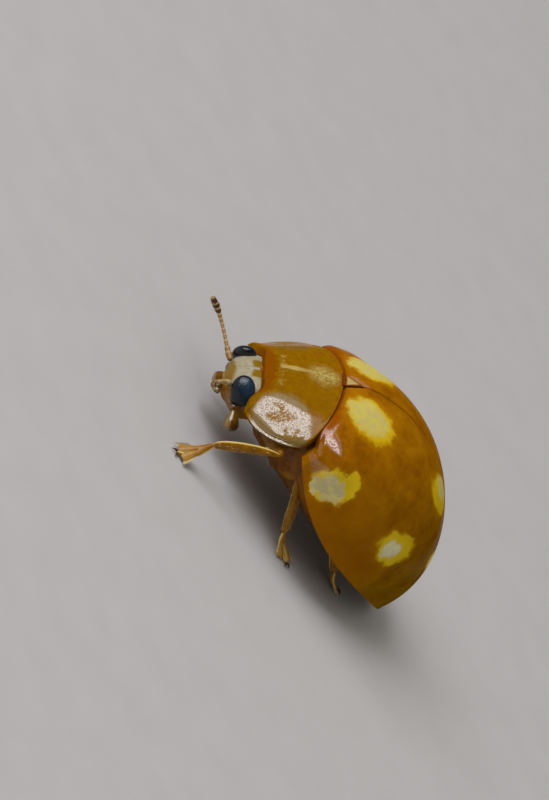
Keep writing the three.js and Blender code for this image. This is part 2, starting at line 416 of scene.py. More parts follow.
# %% Shape a wing case
WALL = 0.07
MIDLINE = 0.6  # height of the line inside the body that the plates bulge away from
SEAM = {"gap": 0.007, "dip": 0.02, "width": 0.03}
TIP = 0.003  # the plate stops this far short of the dome's point, so that its edge stays open
CALLUS = {"across": 0.7, "y": 0.53, "radius": 0.44, "height": 0.16}
BEAD = {"height": 0.03, "width": 0.028, "groove": 0.08, "groove_width": 0.03, "end": 4.7}
LIP = {"depth": 0.06, "length": 0.14}


def wing_case_point(s, t):
    """A point of the left wing case: s is 0 at the seam and 1 at the side edge, t 0 at the front."""
    across = packed(s)
    front = 0.0
    for _ in range(8):  # the front edge depends on the width there, so it is closed in on
        front = border(dome(across, front).x)
    y = front + (TAIL - TIP - front) * packed(t)
    point = dome(across, y)
    outward = (point - Vector((0, y, MIDLINE))).normalized()
    groove = 0.5 * hump(1 - across - BEAD["groove"], BEAD["groove_width"])
    bead = BEAD["height"] * (hump(1 - across, BEAD["width"]) - groove) * ease(BEAD["end"] - y, 0, 0.4)
    to_callus = (point - dome(CALLUS["across"], CALLUS["y"])).length
    swell = CALLUS["height"] * hump(to_callus, CALLUS["radius"])
    fall = LIP["depth"] * (1 - ease(y - front, 0, LIP["length"])) ** 2
    dip = SEAM["dip"] * hump(point.x, SEAM["width"])
    point += outward * (swell + bead - fall - dip)
    point.x = max(point.x, SEAM["gap"])
    return point


print("a point of the shoulder:", [round(v, 2) for v in wing_case_point(0.6, 0.2)], "mm")

# %% Make the wing cases
def add_wing_cases():
    grid(90, 110)
    sill = numbers(lambda c: c.x > EDGE)
    lip = numbers(lambda c: c.y < -EDGE)
    case = formed("wing_case_left", lambda c: body(*wing_case_point((c.x + 1) / 2, (c.y + 1) / 2)))
    with editing(case, lip):
        pull_out((0.88, 1, 0.86), body(0, 0.1, MIDLINE), (0, 0.03, 0))
    with editing(case, sill):
        pull_out((0.97, 0.985, 1), (0, 1, 0))
        pull_out((0.84, 0.93, 1), (0, 1, 0), (0, 0, 0.06))
    merge_doubles(case)
    face_out(case, body(0, 1.6, 0.9))
    add_modifier(case, "SOLIDIFY", thickness=WALL * MM, offset=-1)
    smooth(case)
    return settle_pair(case, "wing_case", "wing_case_left", "wing_case_right")


wing_cases = add_wing_cases()

# %% [markdown]
# ## The neck shield
#
# The neck shield covers the front of the thorax and the back of the head. It is one curved plate
# between a crest line and a side edge, both drawn as Bezier curves from back to front, so a grid
# stretched between the two lines follows its form. Its side edges and front edge are beaded, and
# its sides turn under. The front lip reaches down behind the eyes and closes the gap over the neck.

# %% Shape the neck shield
SHIELD = {
    "crest": path_of([(0, -0.03, 1.8), (0, -0.2, 1.65), (0, -0.88, 1.08), (0, -1.01, 0.69)]),
    "edge": path_of([(1.76, -0.09, 0.91), (1.92, -0.41, 0.68), (1.45, -0.7, 0.13), (1.09, -1.03, 0.29)]),
    "square": 1.81, "middle": Vector((0, -0.25, 0.2)),
}
BAY = {"depth": 0.07, "at": 0.42, "width": 0.16}  # the front edge draws back behind each eye
CORNER = {"depth": 0.09, "from": 0.7}  # and it rounds off towards the sides


def shield_point(u, t):
    """A point of the neck shield: u is -1 to 1 from right to left, t is 0 behind and 1 in front."""
    side = abs(u)
    bay = BAY["depth"] * hump(side - BAY["at"], BAY["width"])
    corner = CORNER["depth"] * ease(side, CORNER["from"], 1) ** 2
    t *= 1 - bay - corner
    crest, edge = SHIELD["crest"](t), SHIELD["edge"](t)
    angle, power = u * math.pi / 2, 2 / SHIELD["square"]
    point = edge.lerp(crest, abs(math.cos(angle)) ** power)
    point.x = edge.x * powered(math.sin(angle), power)
    outward = (point - SHIELD["middle"]).normalized()
    bead = 0.022 * hump(1 - side, 0.022) - 0.012 * hump(side - 0.93, 0.03) * ease(t, 0.02, 0.2)
    bead += 0.02 * hump(0.93 - t, 0.02) * ease(side, 0.5, 0.65)
    raised = 0.04 * (1 - ease(t, 0, 0.12)) * ease(1 - side, 0, 0.2)
    return point + outward * (bead + raised)


print("the shield is", round(2 * shield_point(1, 0.2).x, 2), "mm wide between its side edges")

# %% Make the neck shield
def add_neck_shield():
    grid(128, 60)
    sides = numbers(lambda c: abs(c.x) > EDGE)
    hind = numbers(lambda c: c.y > EDGE)
    front = numbers(lambda c: c.y < -EDGE)

    def rule(c):
        u = math.sin(c.x * math.pi / 2)
        return body(*shield_point(u, packed((1 - c.y) / 2)))

    shield = formed("neck_shield", rule)
    with editing(shield, hind):
        pull_out((0.95, 1, 0.93), body(0, 0, MIDLINE), (0, 0.1, 0))
    with editing(shield, front):
        pull_out((0.83, 1, 0.78), body(0, -1, 0.1), (0, 0.04, 0))
    with editing(shield, sides):
        pull_out((0.985, 1, 1), (0, 0, 0), (0, 0, -0.02))
        pull_out((0.75, 1, 1), (0, 0, 0), (0, 0, 0.06))
    face_out(shield, body(*SHIELD["middle"]))
    add_modifier(shield, "SOLIDIFY", thickness=WALL * MM, offset=-1)
    smooth(shield)
    return settle(shield, "neck_shield", "neck_shield")


neck_shield = add_neck_shield()

# %% [markdown]
# ## The small triangle
#
# The scutellum is the tip of the thorax that shows where the wing cases and the neck shield meet.
# A grid is pinched into a triangle, laid on the dome, swelled a little and given a wall.

# %% Make the scutellum
TUCK = 0.06  # the triangle reaches this far under the neck shield


def add_scutellum():
    grid(16, 16)

    def rule(c):
        t = (c.y + 1) / 2
        x = c.x * (TRIANGLE["half"] - 0.008) * (1 - t)
        y = -TUCK + t * (TRIANGLE["length"] + TUCK)
        swell = 0.025 * (1 - c.x**2) * (1 - t) * ease(t, 0, 0.3)
        return body(x, y, arch(CREST, max(y, 0)) - 0.035 - 0.6 * max(0, -y) + swell)

    triangle = formed("scutellum", rule)
    merge_doubles(triangle)
    add_modifier(triangle, "SOLIDIFY", thickness=0.12 * MM, offset=-1)
    smooth(triangle)
    return settle(triangle, "scutellum", "scutellum")


scutellum = add_scutellum()

# %% [markdown]
# ## The trunk and the legs: one skin
#
# Below the plates the beetle is one continuous body: the neck, the thorax with the bulging hips,
# the belly with its overlapping rings, and the legs that grow out of the hips. Each is a ball drawn
# out to its own form, and Boolean unions weld them all into one closed skin with no seam. The
# creases left at the joints are the real ones.

# %% Shape the trunk
VENTER = [-0.22, -0.3, 0.12, 0]  # heights that pull on the belly's line, from the front to the tail
INSET = 0.5  # the trunk lies this far inside the plates
FRONT = -0.35
RINGS = [1.55, 2.25, 2.75, 3.2, 3.6, 3.95]  # where the belly's rings meet
BELLY_SQUARE = 1.5  # below 2 makes a blunt keel


def venter(y):
    """The height of the belly's middle line at y."""
    return bezier(VENTER, min(1, max(0, (y - FRONT) / (TAIL - FRONT))))


def drawn_in(curve, y):
    """An arch drawn in by the inset, less and less towards the tail."""
    full = arch(curve, y)
    return full - INSET if y < curve["at"] else full * (1 - INSET / curve["most"])


def ring_step(y):
    """The belly's rings overlap like roof tiles: each rises towards its hind edge, then drops."""
    for start, end in zip(RINGS, RINGS[1:]):
        if start <= y < end:
            t = (y - start) / (end - start)
            return 0.03 * t * (1 - ease(t, 0.88, 1))
    return 0


def ring_of(c):
    """How far a corner of a ball lies from its axis, and never quite 0."""
    return max(math.hypot(c.x, c.y), 1e-9)


def add_trunk():
    ball(72, 150)
    tail = TAIL - INSET

    def rule(c):
        y = FRONT + (tail - FRONT) * (1 - max(-1, min(1, c.z))) / 2
        outer = y * TAIL / tail
        ring = ring_of(c)
        over = c.y > 0
        power = 2 / (SQUARE if over else BELLY_SQUARE)
        pole = 0 if ring < 1e-6 else 1
        across = pole * powered(c.x / ring, power)
        up = pole * powered(c.y / ring, power)
        ends = ease(y, FRONT, FRONT + 0.5) ** 0.5
        width = drawn_in(WIDTH, outer) * ends
        top = max(0.01, drawn_in(CREST, outer) - rim(y)) * ends
        drop = max(0.01, rim(y) - venter(y)) * ends
        step = ring_step(y) * ease(-up, 0, 0.3)
        return body(across * width, y, rim(y) + up * (top if over else drop + step))

    return formed("skin", rule)


trunk = add_trunk()
print("trunk corners:", len(trunk.data.vertices))

# %% [markdown]
# Every rounded length of a limb is a ball swept along a path. A curve with a bevel would do for a
# round limb, but legs are flat and keeled. The helper `swept` takes the path, and how wide and how
# thick the limb is along it. Thickness is measured upwards, so a flat pad lies level. It also marks
# each corner for the finish: how near it lies to the limb's rim, and how far along.

# %% Sweep a limb along a path
AHEAD = 1e-3  # how far along the path its direction is taken


def mark(piece, name, values):
    """Writes a number on each corner of the piece, which its finish can read."""
    piece.data.attributes.new(name, "FLOAT", "POINT").data.foreach_set("value", values)


def swept(name, path, wide, thick, around=20, rows=16, ends=3.0, keel=1.0, ridged=True):
    """A round-ended limb: path, half width and half thickness are functions of t from 0 to 1."""
    ball(around, rows)

    def rule(c):
        t = (1 + c.z) / 2
        full = (1 - min(1, abs(c.z)) ** ends) ** (1 / ends)
        ahead = (path(min(1, t + AHEAD)) - path(max(0, t - AHEAD))).normalized()
        side = UP.cross(ahead).normalized()
        over = ahead.cross(side)
        across, height = (full * powered(v / ring_of(c), keel) for v in (c.x, c.y))
        return path(t) + side * (across * wide(t)) + over * (height * thick(t))

    flat = wide(0.5) > thick(0.5)
    places = [v.co.copy() for v in bpy.context.active_object.data.vertices]
    limb = formed(name, rule)
    mark(limb, "rim", [ridged * abs(c.x if flat else c.y) / ring_of(c) for c in places])
    mark(limb, "along", [(1 + c.z) / 2 for c in places])
    return limb


def line(start, end, bow=Vector((0, 0, 0))):
    """A path from start to end that bows aside at its middle."""
    return lambda t: start.lerp(end, t) + bow * (4 * t * (1 - t))


def part_of(path, start, end):
    return lambda t: path(start + (end - start) * t)


def taper(*controls):
    """A half width or half thickness that changes along a limb."""
    return lambda t: bezier(controls, t)


print("a limb of 0.05, 0.07 and 0.11 mm is", taper(0.05, 0.07, 0.11)(0.5), "mm at its middle")

# %% [markdown]
# A leg has a stout thigh, a shin that widens a little towards its end, and a foot of three visible
# pieces: a narrow first one that widens, a broad second one split into two soft lobes, and between
# the lobes a thin last one that carries two hooked claws.

# %% Lay out the legs
LEGS = {  # hip, knee, ankle and the tip of the foot
    "front_left": [(0.38, -1.55, 0.9), (1.86, -1.42, 1.31), (2.18, -2.49, 0.58), (2.5, -2.94, 0)],
    "front_right": [(-0.38, -1.55, 0.9), (-1.8, -1.2, 1.3), (-2.0, -0.85, 0.3), (-2.35, -1.25, 0)],
    "middle_left": [(0.62, -0.7, 0.66), (1.5, -0.66, 1.17), (1.55, 0.17, 0.235), (2.02, 0.54, 0)],
    "middle_right": [(-0.62, -0.7, 0.66), (-1.5, -0.55, 1.15), (-1.62, 0.35, 0.235), (-2.1, 0.7, 0)],
    "hind_left": [(0.66, 0.25, 0.6), (1.5, 0.65, 1), (1.06, 1.7, 0.3), (0.85, 2.17, 0)],
    "hind_right": [(-0.66, 0.25, 0.6), (-1.5, 0.75, 0.98), (-1.2, 1.8, 0.3), (-1.05, 2.3, 0)],
}
ARCHED = UP * 0.06  # thighs and shins bow upwards by this much
SHIN = (0.07, 0.12, 0.12, 0.15)
LEAN = {"front": 1, "middle": 0.74, "hind": 1}  # the middle shins are slimmer
SPREAD = {"front": 0.13, "middle": 0.21, "hind": 0.13}  # how far the foot's lobes part
LOBE = (0.05, 0.07, 0.11)


def foot_line(ankle, toe):
    """The foot comes down from the ankle and levels out along the floor to the claws."""
    near, far = ankle.lerp(toe, 0.3), ankle.lerp(toe, 0.65)
    return path_of([ankle, (*near.xy, 0.22 * ankle.z), (*far.xy, 0.02), (*toe.xy, 0.05)])


def lobe_line(name, foot, turn):
    """Where a lobe of the foot starts and ends, and its outer side. turn is 1 or -1."""
    out = UP.cross(foot(0.7) - foot(0.4)).normalized() * turn
    return foot(0.2) + out * 0.03, foot(0.76) + out * SPREAD[name.split("_")[0]], out


print("legs:", ", ".join(LEGS))

# %% Make the parts of a leg
def add_leg(name):
    hip, knee, ankle, toe = (Vector(p) for p in LEGS[name])
    foot = foot_line(ankle, toe)
    coxa = hip.lerp(Vector((0, hip.y, hip.z)), 0.35)
    socket = line(coxa, hip.lerp(knee, 0.22))
    thigh, shin = line(hip, knee, ARCHED), line(knee, ankle, ARCHED)
    base, tip = part_of(foot, -0.04, 0.36), part_of(foot, 0.4, 0.97)
    deep = taper(*(half * LEAN[name.split("_")[0]] for half in SHIN))
    parts = [
        swept("hip", socket, taper(0.18, 0.2, 0.1), taper(0.16, 0.18, 0.1), ridged=False),
        swept("thigh", thigh, taper(0.07, 0.15, 0.19, 0.1), taper(0.08, 0.2, 0.24, 0.13), ridged=False),
        swept("shin", shin, taper(0.05, 0.07, 0.08, 0.08), deep, keel=1.3),
        swept("foot_base", base, taper(0.04, 0.08, 0.15), taper(0.05, 0.06, 0.05)),
        swept("foot_tip", tip, taper(0.03, 0.035, 0.045), taper(0.03, 0.04, 0.035)),
    ]
    for turn in (1, -1):
        start, end, out = lobe_line(name, foot, turn)
        pad = line(start, end, out * -0.01)
        parts.append(swept("foot_lobe", pad, taper(*LOBE), taper(0.04, 0.045, 0.03), rows=24, ends=4))
    return parts


print("parts of a leg: hip, thigh, shin, two lengths of the foot and two lobes")

# %% [markdown]
# Boolean unions take the parts into the trunk one by one. Each face keeps the number of its finish
# through them: 0 is the trunk's and 1 the legs'.

# %% Weld the skin
def sort_faces(piece, number):
    """Gives all faces of the piece the number of their finish."""
    piece.data.materials.append(None)
    piece.data.materials.append(None)
    for face in piece.data.polygons:
        face.material_index = number


def weld(whole, parts, number):
    for part in parts:
        sort_faces(part, number)
        add_modifier(whole, "BOOLEAN", object=part, operation="UNION", solver="MANIFOLD")
        bpy.data.objects.remove(part)


def add_skin():
    sort_faces(trunk, 0)
    ball(40, 24)
    neck = formed("neck", lambda c: body(c.x * 0.6, -0.5 + 0.5 * c.y, 0.5 + 0.5 * c.z))
    ball(40, 24)
    collar = formed("collar", lambda c: body(c.x * 0.78, -0.62 + 0.3 * c.y, 0.6 + 0.3 * c.z))
    weld(trunk, [neck, collar], 0)
    for name in LEGS:
        weld(trunk, add_leg(name), 1)
    smooth(trunk, 50)
    print("numbers kept on the skin:", [a.name for a in trunk.data.attributes])
    nodes = [f"{leg}_{part}" for leg in LEGS for part in ("femur", "tibia", "foot")]
    return settle(trunk, "underside", "thorax", "abdomen", *nodes)


skin = add_skin()

# %% [markdown]
# The claws are dark hooks, each a thin limb bent over at its tip, two to a foot.

# %% Add the claws
FLOOR_GAP = 0.004  # the tips stay this far above the floor


def joined(name, pieces):
    choose(*pieces)
    bpy.ops.object.join()
    whole = bpy.context.active_object
    whole.name = whole.data.name = name
    return whole


def add_claws(name):
    ankle, toe = (Vector(p) for p in LEGS[name][2:])
    foot = foot_line(ankle, toe)
    root = foot(0.9)
    ahead = (foot(1) - root).normalized()
    side = UP.cross(ahead).normalized()
    hooks = []
    for out in (side, -side):
        tip = root + ahead * 0.1 + out * 0.1
        tip.z = FLOOR_GAP
        bend = root + ahead * 0.09 + out * 0.05 + UP * 0.03
        hook = path_of([root + out * 0.01, bend, tip])
        hooks.append(swept("claw", hook, taper(0.024, 0.02, 0.004), taper(0.026, 0.02, 0.004), 10, 10))
    claws = joined(f"claws_{name}", hooks)
    smooth(claws, 60)
    return settle(claws, "limb", f"{name}_foot")


claws = [add_claws(name) for name in LEGS]

# %% [markdown]
# Pale bristles fringe the soles and stand along the shins and the feelers. Each is a bent spike of
# three sides. A piece has to be a mesh in the end, so the spikes aren't Blender's hair but are
# written straight into one mesh for each leg or feeler. The map `OFBake` gives each its own small
# patch, placed as on the limb rolled out flat.

# %% Write bristles into a mesh
SPIKE = [(0, 0.006), (0.55, 0.0045), (1, 0.001)]  # how far along, and the half width there
DROOP = 0.15
CLEAR = 0.003  # bristles stay this far above the floor
PATCH = 0.0015  # half the width of a bristle's patch on the map


def bristles(name, roots):
    """Roots are tuples: place, aim, length, and the place on the rolled-out limb."""
    corners, faces, places = [], [], []
    for root, aim, length, flat in roots:
        side = aim.cross(Vector((0.3, 0.2, 1))).normalized()
        over = aim.cross(side)
        first = len(corners)
        for t, half in SPIKE:
            middle = root + aim * (length * t) - UP * (DROOP * length * t * t)
            for turn in range(3):
                c, d = math.cos(turn * math.tau / 3), math.sin(turn * math.tau / 3)
                corner = middle + side * (c * half) + over * (d * half)
                corner.z = max(corner.z, CLEAR)
                corners.append(corner * MM)
                places.append((flat[0] + PATCH * c, flat[1] + PATCH * d))
        for low in (first, first + 3):
            faces += [(low + a, low + (a + 1) % 3, low + 3 + (a + 1) % 3, low + 3 + a) for a in range(3)]
        faces += [(first + 2, first + 1, first), (first + 6, first + 7, first + 8)]
    mesh = bpy.data.meshes.new(name)
    mesh.from_pydata(corners, [], faces)
    layer = mesh.uv_layers.new(name="OFBake")
    for loop in mesh.loops:
        layer.data[loop.index].uv = places[loop.vertex_index]
    piece = bpy.data.objects.new(name, mesh)
    bpy.context.collection.objects.link(piece)
    return piece


print("corners of a bristle:", 3 * len(SPIKE))

# %% Grow bristles on the legs
SOLE_BRISTLES = 110
SHIN_BRISTLES = 60


def sole_roots(name, index, draw):
    foot = foot_line(*(Vector(p) for p in LEGS[name][2:]))
    roots = []
    for number in range(SOLE_BRISTLES):
        turn = 1 if number % 2 else -1
        start, end, out = lobe_line(name, foot, turn)
        t = draw.uniform(0.3, 1) ** 0.7
        half = bezier(LOBE, t) * (1 - (2 * t - 1) ** 4 * 0.9) ** 0.25
        aim = out * draw.uniform(0.3, 1) + (end - start).normalized() * draw.uniform(0.3, 1.4 * t)
        root = start.lerp(end, t) + out * (half * 0.85) + UP * 0.015
        flat = ((index + 0.5 + 0.3 * t * turn) / len(LEGS), 0.5 + 0.45 * t)
        roots.append((root, aim.normalized(), draw.uniform(0.045, 0.08), flat))
    return roots


def shin_roots(name, index, draw):
    knee, ankle = (Vector(p) for p in LEGS[name][1:3])
    shin = line(knee, ankle, ARCHED)
    ahead = (ankle - knee).normalized()
    across = UP.cross(ahead).normalized()
    over = ahead.cross(across)
    roots = []
    for _ in range(SHIN_BRISTLES):
        t, angle = draw.uniform(0.2, 0.97), draw.uniform(0, math.tau)
        out = across * math.cos(angle) * 0.066 + over * math.sin(angle) * 0.11
        aim = (ahead + out.normalized() * draw.uniform(0.3, 0.6)).normalized()
        flat = ((index + 0.1 + 0.8 * angle / math.tau) / len(LEGS), 0.05 + 0.45 * t)
        roots.append((shin(t) + out * 0.9, aim, draw.uniform(0.04, 0.07), flat))
    return roots


leg_bristles = []
for index, name in enumerate(LEGS):
    draw = random.Random(index)
    roots = sole_roots(name, index, draw) + shin_roots(name, index, draw)
    leg_bristles.append(settle(bristles(f"bristles_{name}", roots), "limb", f"{name}_foot"))
print("bristles on a leg:", len(roots))

# %% [markdown]
# ## The head
#
# The head is a short rounded box, tucked under the neck shield and nodding down. Its face is
# flattened between the eyes, and a thin ledge, the clypeus, juts out over the mouth. Its nape widens
# and reaches back and up inside the shield, so that no gap shows. Each feeler has a small socket.

# %% Make the head
HEAD = {
    "centre": Vector((0, -0.84, 0.05)), "half": (0.75, 0.46, 0.62),
    "nod": math.radians(-31), "square": 2.8,
}
CHIN = (0.55, 0.3, 0.38)  # how much the head narrows, shortens and rises below


def superball(direction, half, square):
    """The point of a squared ellipsoid that lies in the given direction."""
    powers = sum(abs(c) ** square for c in direction)
    return Vector([c * h for c, h in zip(direction / powers ** (1 / square), half)])


def add_head():
    ball(96, 64)
    turn = Matrix.Rotation(HEAD["nod"], 3, "X")

    def rule(c):
        point = superball(c, HEAD["half"], HEAD["square"])
        low = ease(-point.z, -0.05, 0.5)
        point = Vector([v * (1 - share * low) for v, share in zip(point, CHIN)])
        nape = ease(point.z, 0.1, 0.5) * ease(point.y, -0.25, 0.3)
        point += Vector((point.x * 0.44, 0.32, 0.18)) * nape
        front = ease(-point.y, 0, 0.4)
        flat = 0.04 * hump(point.x, 0.4) * hump(point.z - 0.1, 0.3)
        point.y += front * flat
        ledge = 0.05 * hump(point.z + 0.34, 0.05) * ease(0.55 - abs(point.x), 0, 0.2)
        point.y -= front * ledge
        point.y += front * 0.07 * ease(-0.36 - point.z, 0, 0.08)
        socket = Vector((abs(point.x) - 0.42, point.y + 0.5, point.z + 0.13))
        point.y += 0.05 * hump(socket.length, 0.11)
        point = turn @ point + HEAD["centre"]
        return body(*point)

    head = formed("head", rule)
    smooth(head, 60)
    return settle(head, "head", "head")


head = add_head()

# %% [markdown]
# ## The eyes
#
# A compound eye is packed with hundreds of tiny lenses. An icosphere has its corners spread evenly,
# so bevelling every corner leaves a six-sided face round each, like a honeycomb. Insetting those
# faces one by one and pushing them out makes the lenses. The ball is then drawn out to the eye's
# oval, with the shallow notch that a ladybird's eye has in front.

# %% Make the eyes
EYE = {
    "centre": Vector((0.64, -1.07, 0.254)), "half": Vector((0.15, 0.3, 0.235)),
    "nod": math.radians(-43), "swing": math.radians(-32),
}


def add_eyes():
    deselect()
    bpy.ops.mesh.primitive_ico_sphere_add(subdivisions=5, radius=1)
    eye = bpy.context.active_object
    turn = Matrix.Rotation(EYE["nod"], 3, "X") @ Matrix.Rotation(EYE["swing"], 3, "Z")

    def rule(c):
        point = Vector([a * b for a, b in zip(c, EYE["half"])])
        point.y += 0.02 * hump((c - Vector((0.5, -0.9, -0.1))).length, 0.5)
        return body(*(turn @ point + EYE["centre"]))

    with editing(eye):
        bpy.ops.mesh.bevel(offset=36, offset_type="PERCENT", affect="VERTICES")
        bpy.ops.mesh.select_mode(type="FACE")
        bpy.ops.mesh.select_all(action="DESELECT")
        bpy.ops.mesh.select_face_by_sides(number=4, type="GREATER")
        bpy.ops.mesh.inset(thickness=0.006, use_individual=True)
        bpy.ops.transform.shrink_fatten(value=0.004)
    formed("eye_left", rule)
    smooth(eye, 60)
    return settle_pair(eye, "eye", "eye_left", "eye_right")


eyes = add_eyes()

# %% [markdown]
# ## The feelers
#
# A feeler has eleven joints: a stout first one, a short second, six thin ones and a club of three.
# Each is a small cup that widens towards its far end, swept along its stretch of one curve. The
# corners of a cup are marked with its number, so that the finish can darken the club.

# %% Make the feelers
FEELERS = {
    "left": [(0.42, -2.55, 0.93), (0.7, -2.8, 1.0), (0.98, -3.0, 1.03), (1.17, -3.07, 0.94)],
    "right": [(-0.42, -2.55, 0.93), (-0.85, -2.76, 0.93), (-1.4, -2.9, 1.0), (-1.48, -3.38, 1.08)],
}
JOINTS = [  # length, and half width at the near and far end
    (0.17, 0.055, 0.068), (0.1, 0.05, 0.056), (0.14, 0.03, 0.04), (0.12, 0.03, 0.038),
    (0.11, 0.03, 0.038), (0.1, 0.03, 0.038), (0.09, 0.03, 0.04), (0.09, 0.032, 0.046),
    (0.1, 0.04, 0.068), (0.1, 0.055, 0.078), (0.13, 0.06, 0.052),
]


def add_feeler(side):
    whole = path_of(FEELERS[side])
    total = sum(length for length, _, _ in JOINTS)
    cups, start = [], 0.0
    for number, (length, near, far) in enumerate(JOINTS):
        end = start + length / total
        path, size = part_of(whole, start, min(1, end + 0.006)), taper(near, near, far, far)
        cups.append(swept("cup", path, size, size, 16, 12, 5))
        cup_marks = cups[-1].data.attributes["rim"].data
        cup_marks.foreach_set("value", [number / 10] * len(cup_marks))
        start = end
    feeler = joined(f"feeler_{side}", cups)
    smooth(feeler, 60)
    return settle(feeler, "limb", f"feeler_{side}")


feelers = [add_feeler(side) for side in FEELERS]

# %% Grow bristles on the feelers
FEELER_BRISTLES = 110


def feeler_roots(side, index):
    draw = random.Random(10 + index)
    whole = path_of(FEELERS[side])
    roots = []
    for _ in range(FEELER_BRISTLES):
        t, angle = draw.uniform(0.15, 0.99), draw.uniform(0, math.tau)
        ahead = (whole(t) - whole(t - 0.01)).normalized()
        across = UP.cross(ahead).normalized()
        out = across * math.cos(angle) + ahead.cross(across) * math.sin(angle)
        root = whole(t) + out * (0.025 + 0.04 * ease(t, 0.7, 0.85))
        flat = ((index + 0.1 + 0.8 * angle / math.tau) / len(FEELERS), 0.05 + 0.9 * t)
        roots.append((root, (ahead + out * 0.6).normalized(), draw.uniform(0.03, 0.05), flat))
    return roots


feeler_bristles = []
for index, side in enumerate(FEELERS):
    piece = bristles(f"bristles_feeler_{side}", feeler_roots(side, index))
    feeler_bristles.append(settle(piece, "limb", f"feeler_{side}"))

# %% [markdown]
# ## The mouth
#
# Under the clypeus sit the upper lip, the tips of the jaws and, at each side, a palp: a short stalk
# of two joints that ends in a broad hatchet-shaped plate.

# %% Make the lip, the jaws and the palps
def add_labrum():
    ball(32, 20)
    turn = Matrix.Rotation(HEAD["nod"], 3, "X")

    def rule(c):
        return body(*(turn @ superball(c, (0.23, 0.1, 0.12), 3) + Vector((0, -1.16, -0.22))))

    lip = formed("labrum", rule)
    jaws = []
    for side in (1, -1):
        start, end = body(side * 0.26, -1.06, -0.26), body(side * 0.05, -1.16, -0.37)
        path = line(start, end, Vector((side * 0.05, -0.02, 0)))
        jaws.append(swept("jaw", path, taper(0.07, 0.08, 0.03), taper(0.07, 0.06, 0.03), 14, 10))
    mouth = joined("labrum", [lip, *jaws])
    smooth(mouth, 60)
    return settle(mouth, "limb", "labrum")


def add_palps():
    root, elbow = body(0.55, -1.02, -0.06), body(0.76, -0.97, -0.02)
    wrist, tip = body(0.84, -0.9, -0.03), body(1.02, -0.62, -0.28)
    slim, full = taper(0.05, 0.04, 0.06), taper(0.05, 0.07, 0.06)
    stalk = swept("stalk", line(root, elbow), slim, slim, 16, 10)
    knot = swept("knot", line(elbow, wrist), full, full, 16, 10)
    broad, flat = taper(0.04, 0.14, 0.22, 0.22), taper(0.04, 0.12, 0.17, 0.15)
    blade = swept("blade", line(wrist, tip), broad, flat, 24, 18, 3)
    palp = joined("palp_left", [stalk, knot, blade])
    smooth(palp, 60)
    return settle_pair(palp, "limb", "palp_left", "palp_right")


labrum = add_labrum()
palps = add_palps()

# %% [markdown]
# ## Painting with sums
#
# A finish is a tree of shader nodes. Wiring them by name takes a page for each colour, so finishes
# are written as sums: `Socket` wraps one output, and an expression on it adds the Math nodes.

# %% Sums of sockets
class Socket:
    """An output of a material's nodes, on which Python's operators add Math nodes."""

    def __init__(self, paint, socket):
        self.paint, self.socket = paint, socket

    def math(self, operation, *others):
        values = dict(enumerate((self, *others)))
        return self.paint.node("Math", {"operation": operation}, values)

    def __add__(self, other):
        return self.math("ADD", other)

    __radd__ = __add__

    def __sub__(self, other):
        return self.math("SUBTRACT", other)

    def __rsub__(self, other):
        return (self * -1) + other

    def __mul__(self, other):
        return self.math("MULTIPLY", other)

    __rmul__ = __mul__

    def __abs__(self):
        return self.math("ABSOLUTE")

    def most(self, other):
        return self.math("MAXIMUM", other)

    def melt(self, other, reach):
        """The lesser of the two, with a round passage between them."""
        return self.math("SMOOTH_MIN", other, reach)

    def step(self, low, high):
        """0 below low, 1 above high, and a smooth step between. low may be the larger."""
        values = {"Value": self, "From Min": low, "From Max": high}
        return self.paint.node("MapRange", {"interpolation_type": "SMOOTHSTEP"}, values)


print("operators on a socket: + - * and abs, with most, melt and step")

# %% [markdown]
# `Paint` is one material under construction, and `Paint.node` adds any node that isn't a sum. Every
# pattern is laid out in the body's own frame, in millimetres, so a spot or a mark is placed by the
# same numbers that shaped the plate under it.

